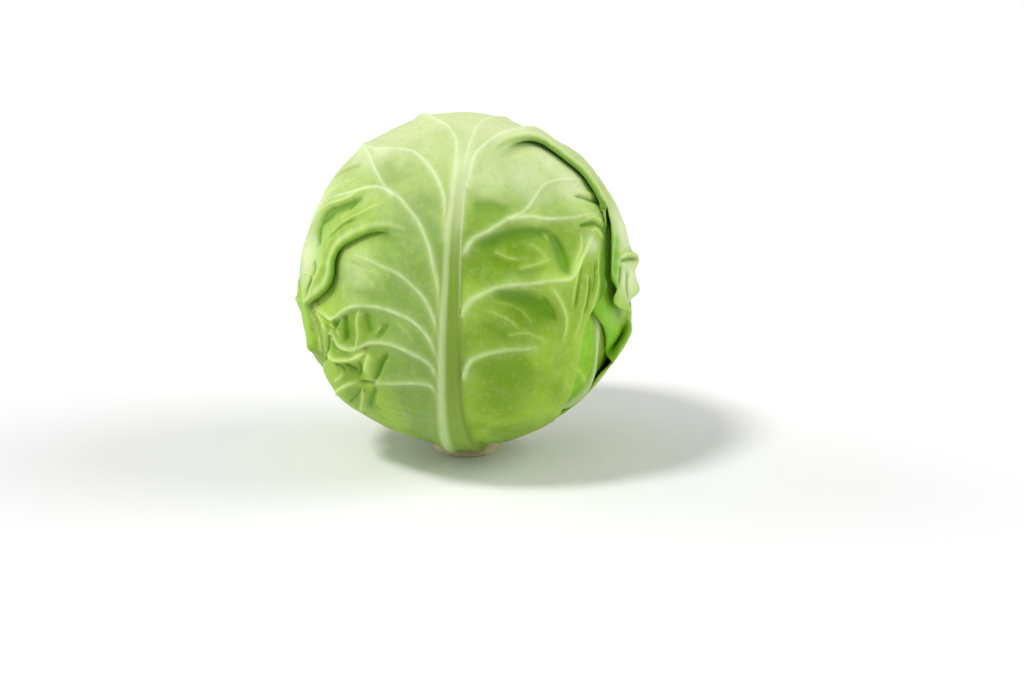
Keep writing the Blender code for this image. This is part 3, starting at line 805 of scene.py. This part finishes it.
def stalk_material():
    """The cut stalk: pale flesh, a ring of darker strands, browned towards its rim."""
    n = Nodes("stalk_flesh")
    where = n.node("ShaderNodeTexCoord").outputs["Object"]
    level = n.vector_math("MULTIPLY", where, (1, 1, 0)).outputs[0]
    radius = n.vector_math("LENGTH", level).outputs["Value"]
    fibres = n.noise(where, 900, 4.0)
    cloud = n.noise(where, 160, 4.0)
    colour = n.mix(n.between(cloud, 0.35, 0.7), STALK_FLESH, STALK_CLOUD)
    ring = n.times(n.between(radius, 0.0080, 0.0105), n.between(radius, 0.0145, 0.0120))
    ring = n.times(ring, n.between(fibres, 0.42, 0.62))
    colour = n.tint(colour, ring, 0.7, STALK_STRANDS)
    rim = n.times(n.between(radius, 0.0135, 0.0175), n.between(cloud, 0.2, 0.8, 0.5, 1.0))
    colour = n.tint(colour, rim, 0.6, STALK_RIM)
    bump = n.node("ShaderNodeBump", {"Height": fibres, "Strength": 0.5, "Distance": 0.0005})
    return n.done({"Base Color": colour, "Normal": bump.outputs["Normal"], "Roughness": 0.62})


# ---- the leaves


def foot(spread):
    """The foot of a leaf, left to right: the arc with which it clasps the stalk, this far to each side."""
    turn = np.radians(np.linspace(-spread, spread, 5))
    cone = math.radians(STALK_ANGLE + CLEARANCE_ANGLE)
    level = np.column_stack([np.sin(turn), -np.cos(turn)]) * math.sin(cone)
    return on_pattern(0, np.column_stack([level, np.full(5, -math.cos(cone))])).tolist()


FOOT_ALONG = -90.0 - LEAF_LATITUDE + STALK_ANGLE + CLEARANCE_ANGLE
SIDE_VEINS = 10


# The folds and hollows that growing round the head has left in the outermost leaf
FRONT_CREASES = [
    # above the left pleat
    ([(-68, 25), (-61, 26), (-54, 26.3), (-46, 26.2), (-40, 26.8), (-35, 27.6), (-27, 28)], 0.9, 1.4),
    ([(-58, 23), (-50, 24), (-44, 24.2), (-38, 25), (-32, 26)], 1.1, -1.5, -2.4),
    ([(-38, 26.5), (-38.5, 24), (-40, 21.5)], 0.9, -1.0),
    ([(-52, 11.5), (-46.5, 14), (-41, 16.3), (-35, 18.4), (-28, 20.6), (-22, 21.5)], 0.9, 1.3),
    ([(-50, 12.5), (-44, 14.6), (-39, 16.4), (-34, 17.2)], 0.9, -1.3, -2.2),
    ([(-58, 20), (-52.3, 21.4), (-47.5, 22)], 2.0, -1.8),
    ([(-57, 20), (-57.5, 15), (-56, 10)], 1.8, -1.2),
    ([(-51, 6), (-47.5, 11), (-42, 14.6), (-35, 16), (-28, 16.6)], 0.8, 0.7),
    ([(-72, 0.5), (-66, 0), (-60.2, -1), (-53.7, -3)], 0.9, 1.1),
    ([(-50.5, 4.5), (-52, 0.5), (-53.8, -2), (-56.8, -5), (-62, -9.5)], 0.8, 1.2),
    ([(-60, 5), (-57.5, 1.5), (-57, -1.2)], 1.5, -1.0),
    ([(-57, 0), (-59.5, -4), (-64, -9)], 1.3, -1.5),
    ([(-67, -3), (-66, -9), (-64, -14)], 1.0, 0.9),
    # the crumpled part below it
    ([(-61, -15.4), (-55.6, -15.9), (-50.9, -17.7), (-46.7, -18.7), (-41.3, -16), (-37.2, -14.1), (-30, -13)],
     0.8, 1.3),
    ([(-60, -15.2), (-55.6, -18.8), (-51.2, -23.4), (-46.2, -25), (-42.5, -28), (-37.7, -29.9), (-33, -28)],
     0.8, 1.4),
    ([(-50, -19.4), (-46, -22), (-43, -23.4), (-41.5, -27)], 0.8, 0.9),
    ([(-47, -20.4), (-43.5, -19.8), (-41, -17.5)], 1.1, -1.0),
    ([(-40, -15.8), (-39.4, -19), (-39.4, -23), (-40, -26.5)], 0.8, -1.9, 2.6),
    ([(-32.5, -14), (-34.4, -19), (-34.4, -24), (-36, -29)], 0.7, 1.5, 1.8),
    ([(-30.4, -15), (-30.4, -19), (-29, -23.5)], 1.3, -1.1, 2.4),
    ([(-44.6, -17.5), (-44.6, -20), (-45.5, -23.5)], 0.8, -1.2, -1.8),
    ([(-21, -18.5), (-23.4, -22), (-26.4, -25.6)], 0.6, -0.9, -4.0),
    ([(-24, -19.5), (-27, -23)], 0.7, 0.7),
    ([(-52, -21), (-50, -26), (-53, -32), (-62, -40)], 0.9, -2.6),
    ([(-55, -21.5), (-53.4, -26), (-56, -32)], 0.8, 0.9),
    ([(-49, -24), (-46.5, -27.4), (-43.6, -30)], 1.0, -1.7, -2.0),
    ([(-54, -31), (-50, -34), (-46, -34.6), (-40, -33.6), (-35, -32), (-30, -29)], 1.1, 1.9, 1.6),
    ([(-44, -36), (-41, -37.6), (-37.6, -38)], 1.1, -2.1),
    ([(-51, -38), (-47, -37.6), (-45, -40)], 1.0, -1.4),
    ([(-29.4, -29.4), (-31, -33.6), (-33.5, -38)], 1.2, 1.5, 1.8),
    ([(-35.5, -33.4), (-36, -37), (-38, -41)], 1.0, -1.5),
    ([(-21.6, -29), (-24.4, -33), (-26, -36.4), (-29, -41)], 0.7, -1.9, -2.6),
    ([(-38.5, -43.2), (-33, -41.7), (-27, -40.4)], 0.6, -1.7, -2.0),
    ([(-62, -58), (-54, -51), (-46.5, -46.6), (-39, -43)], 1.1, 1.9),
    ([(-38.4, -46), (-42, -50), (-46, -53.7), (-53.6, -60.2)], 0.7, -2.0),
    ([(-36.5, -45.5), (-41, -54), (-48, -65)], 1.2, 1.4),
    ([(-29, -43), (-33, -49), (-38, -57)], 1.6, -1.6),
    ([(-46, -40), (-50, -44), (-57, -48)], 1.0, 1.0),
    # between the left veins
    ([(-27.3, 3.8), (-20, 1), (-16.3, -2.9)], 1.8, -0.35, -2.0),
    ([(-35.3, -0.9), (-29, -4.4), (-25, -7.7)], 1.3, 0.4),
    ([(-40, -7.7), (-31, -8.6), (-23.4, -11)], 1.8, -0.35, -2.0),
    ([(-37.7, 2.4), (-33, 1), (-30.3, -0.6)], 1.0, -0.3),
    ([(-18, -18), (-14.8, -21), (-11.6, -25)], 1.3, 0.4),
    ([(-27.2, 40.4), (-20.6, 30)], 1.8, -0.25, 2.0),
    ([(-62.8, 46.5), (-46.6, 44.6), (-37.5, 41)], 1.5, -0.4, -2.0),
    ([(-67.3, 38), (-49.8, 36.5), (-38, 35)], 1.6, 0.5),
    # right of the midrib
    ([(5, 20), (13, 20.5), (19, 17.5)], 2.6, -0.8, -2.2),
    ([(10.4, 34.6), (12.3, 25.9)], 1.4, 0.4),
    ([(18.8, 38.4), (22, 43), (26.6, 46.6)], 1.2, 0.7),
    ([(36.5, 25.6), (45, 25.1), (53, 25.7)], 1.4, 0.5),
    ([(7, 7), (17, 11), (26, 13.2), (35, 13.6)], 1.5, -1.7, -2.6),
    ([(9.3, 7.2), (13, 8.6), (17.5, 10)], 0.8, 0.6),
    ([(13, 5.4), (17.6, 3.7), (22.2, 2.7)], 0.9, 0.7),
    ([(11, 3.5), (16, 1.6), (22, 0)], 1.3, -0.45, -2.4),
    ([(25.4, 14.9), (30.3, 12.7), (33, 9)], 0.7, 0.8),
    ([(24, 9), (29, 6.5), (33, 3)], 1.1, 0.5),
    ([(21, 0), (28.3, 1.7), (34, 4.1)], 0.9, 0.6),
    ([(19, -2), (27, -0.6), (33, 1)], 1.0, -0.4, -2.0),
    ([(33, 13.4), (37, 10), (40, 4), (41, -2)], 1.3, -2.0, -3.2),
    ([(46, 15.5), (46, 10), (43.4, 4), (41.6, -2)], 1.0, 1.4),
    ([(53, 16.5), (48, 9), (44, 2), (40.5, -2.8), (33, -3.6)], 0.9, 1.5, -1.6),
    ([(12, -7), (22, -8.8), (30, -11.6), (36, -18)], 1.8, -1.3, -3.0),
    ([(12, -10.4), (18, -11.6), (22.6, -13.4), (28, -18.4)], 1.0, 0.6),
    ([(10, -13.6), (17.5, -16.1), (23.6, -21)], 1.0, 0.6),
    ([(8, -17), (15, -20), (20, -25)], 1.4, -0.4, -2.2),
    ([(22, -5.8), (30.6, -7)], 0.8, 0.5),
    ([(17.7, -22.4), (26.2, -22), (34, -25.6)], 1.0, 0.6),
    ([(32, -5.3), (37.5, -10.6), (40.4, -17.5), (40, -26)], 0.9, 1.2, 1.8),
    ([(30, -8.7), (34.6, -12.7), (37, -18.2)], 0.9, -1.2, -2.2),
    ([(45.2, 5.2), (43.6, -3.4), (42.6, -13.3)], 0.8, 0.9),
    ([(47, 3), (45.6, -5), (44.6, -14)], 0.8, -1.1),
    ([(49.8, 2), (49, -7), (47, -17.7), (45, -26)], 0.8, 1.1),
    ([(51.6, 0), (51, -8), (49, -16)], 0.8, -1.1),
    ([(56.5, 11), (55.5, 4), (56, -3), (53, -11), (51, -18)], 0.8, 1.2),
    ([(54.4, 6), (54, -2), (52, -9)], 0.7, -1.0),
    ([(45, 17.6), (49, 19.4), (53, 20.8), (57.5, 20.8), (62, 18)], 0.8, -3.0),
    ([(46, 20), (50, 22), (54, 23.4), (58, 23.4), (62, 22)], 0.8, 1.2),
    ([(44.5, 30.6), (48.5, 31.6), (53, 32), (58, 31.4), (64, 29)], 0.7, -2.8),
    ([(47, 33.4), (52, 34), (57, 33.6)], 0.8, 1.0),
    ([(50, 17), (54, 18.2), (59, 16)], 1.0, 1.3),
    # the free lobe beyond the right pleat
    ([(64.5, 26), (65, 14), (65, 4), (64.5, -4)], 2.6, -0.7),
    ([(67, 9.5), (75, 12.5), (82, 14), (90, 15)], 1.0, 1.6),
    ([(70, 8), (80, 11), (87, 12.5)], 1.3, -1.4),
    ([(71, 7), (71.5, 0), (67, -5)], 1.6, -1.7),
    ([(78, 6), (80, -3), (83, -10)], 2.2, -0.9),
]


def front_leaf():
    """The outermost leaf. A pleat on each side takes in its fullness, and the right one opens again."""
    right_margin = [(43, -84), (47, -62), (49, -34), (50.5, -20), (54.5, -13), (58.5, -9), (60.5, -4)]
    right_margin += [(60, 2), (59.5, 8), (60, 15), (62, 24)]
    notch = [(63, 31), (64.5, 22), (64, 12), (64, 4), (62.8, -1)]
    free_lobe = [(64.5, -7), (67, -11), (77, -14), (87, -9.5), (98, 0), (103, 16), (104, 36), (98, 58)]
    tip = [(82, 79), (56, 94), (28, 101), (0, 103), (-30, 101), (-60, 91), (-81, 72)]
    left_margin = [(-91, 46), (-90, 22), (-84, 2), (-76, -10), (-66, -18), (-59, -24), (-57, -30)]
    left_margin += [(-60, -37), (-67, -45), (-69, -55), (-62, -70), (-49, -84)]
    right_pleat = [(14, 41), (18, 47), (23, 51.5), (28, 54.5), (33.5, 54.5), (38.5, 51.5), (43, 47.5)]
    right_pleat += [(48, 44.5), (53, 39.5), (58, 34), (61, 28), (62, 20), (61.5, 10), (61, -4), (58, -20)]
    left_pleat = [(-15, 8.5), (-22, 11.5), (-28, 12.3), (-33, 11.6), (-38, 10), (-42.5, 7.5), (-45, 3.5)]
    left_pleat += [(-46, -1.5), (-49, -5.8), (-54, -8.8), (-60, -11.8), (-66, -15), (-72, -18)]
    return Leaf(
        name="leaf_front",
        longitude=-4,
        outline=[*foot(58), *right_margin, *notch, *free_lobe, *tip, *left_margin],
        spine=[(0, FOOT_ALONG + 1), (-1.2, -60), (-1.0, -38), (0, -12), (1, 22), (3, 46)],
        veins=[
            [(-0.4, 24), (0.2, 36), (-0.6, 46), (-5.2, 55.6), (-12.4, 64), (-22, 74), (-34, 86)],
            [(2.2, 12), (2.6, 22), (3.4, 37), (5, 50), (9, 64), (17.5, 80), (25, 91)],
            [(3.8, 26), (5.4, 36), (8, 43.5), (14.7, 51.5), (25, 60), (36.5, 70), (48, 77)],
            [(-1.6, 8), (-2.3, 18), (-4.2, 25), (-8, 33), (-14, 40), (-21.7, 44), (-35.4, 49.5), (-48, 62)],
            [(-2.6, -20), (-3.4, -8), (-4.8, -1), (-7.2, 7), (-11, 14.4), (-16.4, 21), (-21, 25), (-26.5, 31)]
            + [(-35, 45), (-48, 62), (-56, 72)],
            [(-20, 24), (-24, 27), (-30, 28.5), (-39, 28.5), (-62, 29)],
            [(-2.6, -32), (-3.6, -21), (-5.8, -13.8), (-9.8, -8), (-16.2, -3), (-25, 1), (-33, 3.8)]
            + [(-39, 5.5)],
            [(-3, -40), (-4.4, -28), (-7, -22), (-11.6, -17.8), (-18, -15), (-25.6, -13.4), (-35, -13.5)]
            + [(-42, -17), (-48, -18), (-59, -14)],
            [(-3.6, -47), (-4.6, -37), (-7.4, -31.3), (-12.2, -28), (-18.7, -26), (-28, -25.8), (-38, -29)]
            + [(-49, -26), (-57, -18)],
            [(-4.5, -54), (-6, -41), (-13, -39), (-24, -40), (-36, -42)],
            [(4, 4), (6.5, 8), (12, 11.6), (18.5, 16), (23.5, 19.5), (29, 28.5), (34, 33), (48, 39)],
            [(18, 15.5), (23.5, 16.7), (31, 17.5), (41, 19.4), (49, 23), (57, 26)],
            [(3.5, -15), (6, -11), (11, -8), (16.6, -6), (31, -4), (39.5, -3), (43.5, 1), (49, 9), (57, 14)],
            [(4, -36), (6, -31), (10, -28.5), (14, -27.5), (20, -27), (32, -26.5)],
        ],
        pleats=[
            Pleat(right_pleat, 1, overlap=0.0088, rise=0.0031, half_width=0.0031, deepens=0.22, opens=0.80),
            Pleat(left_pleat, -1, overlap=0.0078, rise=0.0027, half_width=0.0027, closes=0.99),
        ],
        swells=[
            (64, -4, 0.006, 0.0025), (78, -16, 0.007, 0.0045), (87, 12, 0.006, 0.0030),
            (97, -4, 0.010, 0.0035), (-40, -22, 0.007, 0.0022), (-47, -33, 0.008, 0.0022),
            (-30, -34, 0.008, 0.0016), (-58, -25, 0.006, 0.0020),
        ],
        creases=FRONT_CREASES,
        stains=[
            (-57.5, -13.6, 1.8, 1), (-61.5, -16, 2.4, 1), (-59.5, -20, 1.8, 1), (-31, -28, 1.1, 1),
            (-37, -47, 1.2, 1),
        ],
        # greener spots: partly the leaf's own green, partly painted light shining through the lobe's curl
        greens=[
            (67, 16, 2.6, 0.8), (67, 10, 3.0, 1), (67, 4, 3.0, 1), (66.5, -2, 2.8, 1), (67, -8, 2.6, 1),
            (40, 4, 3.0, 0.6), (-55, 10, 5.0, 0.3), (-5, 50, 6.0, 0.25),
        ],
        # painted shade in the hollows, along the folds and by the slits, partly a deeper olive green
        shades=[
            (-57, -22, 3.5, 0.9), (-57, -27, 3.5, 0.9), (-61, -34, 3.5, 0.8), (-35, 17, 5.0, 0.6),
            (-54, 21, 5.0, 0.8), (-47, 22, 4.0, 0.6), (-49, 9, 4.0, 0.5), (-28, 14.6, 2.4, 0.6),
            (-34, 14.6, 2.4, 0.7), (-40, 13, 2.6, 0.7), (-45, 10, 2.8, 0.7), (-48, 5, 3.0, 0.7),
            (-49.5, 0, 2.8, 0.7), (-53, -4, 2.6, 0.7), (-57.5, -7.5, 2.4, 0.7), (-50, 23.5, 3.5, 0.8),
            (-43, 24, 3.0, 0.8), (-57, 17, 4.0, 0.7), (-42, 16, 2.4, 0.6), (-33, -28, 8.0, 1),
            (-46, -24, 7.0, 0.9), (-38, -20, 6.0, 0.5), (-42, -38, 8.0, 0.85), (-45, -52, 9.0, 0.7),
            (10, 12, 8.0, 0.5), (22, 8, 7.0, 0.4), (37, 7, 6.0, 0.7), (25, -8, 6.0, 1),
            (30, -14, 6.0, 0.7), (16, -24, 9.0, 0.6), (34, -16, 8.0, 0.6), (16, -45, 14.0, 0.6),
        ],
        # pale spots: partly the leaf's paler tone, partly painted light on the lit edges
        pales=[
            (78, 26, 15, 1), (84, 2, 12, 1), (74, 10, 6, 1), (74, 1, 6, 1), (44, 36, 9, 0.9),
            (36, 44, 8, 0.8), (24, 33, 10, 0.7), (52, 12, 4, 0.8), (-68, 8, 13, 1), (-70, 34, 14, 0.9),
            (-34, -1, 11, 0.5), (-32, 45, 6, 0.8), (-42, 52, 8, 0.7), (-16, 14, 10, 0.3),
            (12, 30, 8, 0.6),
        ],
        seed=1,
    )


def wrapper_leaf(name, longitude, width, tip, seed, spacing, finish):
    """A leaf laid out by rule: its side veins leave the midrib by turns and bend to the tip."""
    random = np.random.default_rng(seed)
    rib_end = 46

    def wave():
        return 1 + 0.05 * random.uniform(-1, 1)

    side = [(0.52, -84), (0.66, -58), (0.80, -30), (0.92, 0), (1.0, 30), (0.93, 58)]
    side += [(0.72, tip * 0.80), (0.40, tip * 0.95)]
    right_side = [(width * w * wave(), y) for w, y in side]
    left_side = [(-width * w * wave(), y) for w, y in side]
    outline = [*foot(55), *right_side, (0, tip), *left_side[::-1]]
    veins = []
    bends = [(0.22, 0.65, 6), (0.60, 1, 8), (1, 1.25, 12)]
    for i in range(SIDE_VEINS):
        hand = 1 if i % 2 else -1
        start = -52 + 9.5 * i
        reach = width * (0.62 + 0.012 * i) * wave()
        rise = (8 + 4.2 * i) * wave()
        veins.append([(hand * 1.5, start), *((hand * reach * a, start + rise * b + c) for a, b, c in bends)])
    veins.append([(0, rib_end - 6), (-4, rib_end + 12), (-14, rib_end + 26)])
    veins.append([(0, rib_end - 4), (5, rib_end + 12), (13, rib_end + 27)])
    spine = [(0, FOOT_ALONG + 1), (random.uniform(-2, 2), -40), (random.uniform(-2, 2), 0), (0, rib_end)]
    return Leaf(name, longitude, outline, spine, veins, spacing=spacing, finish=finish, seed=seed)


def all_leaves():
    """The wrapper leaves, the outermost first, about two fifths of a turn apart."""
    back_right = wrapper_leaf("leaf_back_right", 133, 92, 96, 3, 0.0014, "outer_leaf")
    back_right.pleats = [
        Pleat([(20, -2), (34, 1), (48, -5), (60, -18), (84, -44)], -1, overlap=0.0100, rise=0.0040),
        Pleat([(-24, -12), (-38, -9), (-52, -18), (-80, -44)], 1, overlap=0.0095, rise=0.0040),
    ]
    back_right.creases = [([(-46, 24), (-54, 16), (-60, 8), (-64, -2), (-66, -12)], 6.5, 1.6)]
    # a green glow painted into the shaded channel under the front leaf's lobe, as light through the leaf
    # would give
    back_right.greens = [(-60, 18, 6, 0.8), (-65, 10, 7, 1), (-70, 3, 7, 1), (-80, -6, 8, 1)]
    back_right.greens += [(-73, -10, 8, 1), (-76, -24, 14, 1)]
    # painted light in the shaded channel under the front leaf's lobe
    back_right.pales = [(-50, 24, 6, 0.7), (-56, 21, 5, 0.6)]
    back_left = wrapper_leaf("leaf_back_left", -126, 92, 94, 5, 0.0014, "outer_leaf")
    back_left.swells = [(54, -36, 0.007, 0.0030), (22, -36, 0.009, 0.0018), (-14, -30, 0.010, 0.0020)]
    back_left.swells += [(28, -17, 0.007, 0.0027), (33, -26, 0.007, 0.0021)]
    # greener, partly painted light shining through the thin tip
    back_left.greens = [(36, -10, 12, 0.7), (33, -18, 12, 0.7), (42, -22, 12, 0.7)]
    # painted shade by the slit under the front leaf's margin, partly a deeper olive green
    back_left.shades = [(64, -18, 5.0, 1), (68, -24, 6.0, 1), (64, -32, 7.0, 1), (58, -40, 6.0, 0.9)]
    back_left.shades += [(57, -24, 4.0, 0.6)]
    back_left.creases = [([(66, -14), (69, -19), (71.5, -24), (69, -31), (60, -40)], 1.5, -2.6)]
    back_left.creases += [([(60, -17), (62, -24), (61, -31), (57, -38)], 0.9, 1.2)]
    back_left.stains = [(54, -21, 2.6, 0.9), (57, -26, 1.8, 0.7)]
    inner_right = wrapper_leaf("leaf_inner_right", 58, 84, 88, 7, 0.0020, "inner_leaf")
    inner_back = wrapper_leaf("leaf_inner_back", -176, 84, 88, 8, 0.0040, "inner_leaf")
    inner_left = wrapper_leaf("leaf_inner_left", -62, 84, 88, 9, 0.0040, "inner_leaf")
    return [front_leaf(), back_right, back_left, inner_right, inner_back, inner_left]


# ---- the setting

FLOOR_HALF = 40.0
FLOOR_GREY = 0.86
FLOOR_ROUGHNESS = 0.7
WORLD_STRENGTH = 0.34
SUNS = {  # where each comes from, its strength, and the angle that it fills, in degrees
    "fill": ((-0.20, -0.85, 0.45), 0.30, 50),
    "key": ((-0.50, -0.25, 0.85), 1.84, 12),
    "left": ((-0.90, 0.30, 0.40), 0.90, 40),
    "right": ((0.85, 0.05, 0.50), 1.62, 40),
}
CAMERA_ELEVATION = 15
CAMERA_DISTANCE = 1.0
CAMERA_LENS = 70
AIM_RIGHT, AIM_DOWN = 0.0226, 0.0290  # from the ball's middle


def make_floor():
    material = bpy.data.materials.new("pale_floor")
    material.use_nodes = True
    shader = material.node_tree.nodes["Principled BSDF"]
    shader.inputs["Base Color"].default_value = (FLOOR_GREY, FLOOR_GREY, FLOOR_GREY, 1)
    shader.inputs["Roughness"].default_value = FLOOR_ROUGHNESS
    mesh = bpy.data.meshes.new("floor")
    corners = [(x * FLOOR_HALF, y * FLOOR_HALF, 0) for x, y in ((-1, -1), (1, -1), (1, 1), (-1, 1))]
    mesh.from_pydata(corners, [], [(0, 1, 2, 3)])
    mesh.materials.append(material)
    floor = bpy.data.objects.new("floor", mesh)
    bpy.context.scene.collection.objects.link(floor)
    floor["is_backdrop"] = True


def add_sun(name, toward, strength, spread):
    """A broad, even light from far away."""
    data = bpy.data.lights.new(name, "SUN")
    data.energy = strength
    data.angle = math.radians(spread)
    light = bpy.data.objects.new(name, data)
    light.rotation_euler = Vector(toward).to_track_quat("Z", "Y").to_euler()
    bpy.context.scene.collection.objects.link(light)


def add_world():
    world = bpy.data.worlds.new("studio")
    world.use_nodes = True
    background = world.node_tree.nodes["Background"]
    background.inputs["Color"].default_value = (1, 1, 1, 1)
    background.inputs["Strength"].default_value = WORLD_STRENGTH
    bpy.context.scene.world = world


def add_camera():
    """The view of the front from a little above, with the head left of and above the frame's middle."""
    elevation = math.radians(CAMERA_ELEVATION)
    toward = Vector((0, -math.cos(elevation), math.sin(elevation)))
    up = Vector((0, math.sin(elevation), math.cos(elevation)))
    aim = Vector((0, 0, BALL_HEIGHT)) + Vector((AIM_RIGHT, 0, 0)) - AIM_DOWN * up
    data = bpy.data.cameras.new("camera")
    data.sensor_width = 36
    data.lens = CAMERA_LENS
    camera = bpy.data.objects.new("camera", data)
    camera.location = aim + CAMERA_DISTANCE * toward
    camera.rotation_euler = (-toward).to_track_quat("-Z", "Y").to_euler()
    bpy.context.scene.collection.objects.link(camera)
    bpy.context.scene.camera = camera


def main():
    finishes = {name: leaf_material(name + "_skin", **colours) for name, colours in LEAF_COLOURS.items()}
    leaves = all_leaves()
    for i, leaf in enumerate(leaves):
        make_leaf(leaf, leaves[:i], finishes[leaf.finish])
    for node, material in (("inner_leaves", finishes["inner_leaf"]), ("stalk", stalk_material())):
        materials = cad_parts[node].data.materials
        materials.clear()
        materials.append(material)
    make_floor()
    add_world()
    for name, (toward, strength, spread) in SUNS.items():
        add_sun(name, toward, strength, spread)
    bpy.context.scene.view_settings.view_transform = "Standard"
    add_camera()
    boxes = {"cad": CAD_BOX, "visual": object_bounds()}
    boxes = {name: [[float(c) for c in corner] for corner in box] for name, box in boxes.items()}


main()
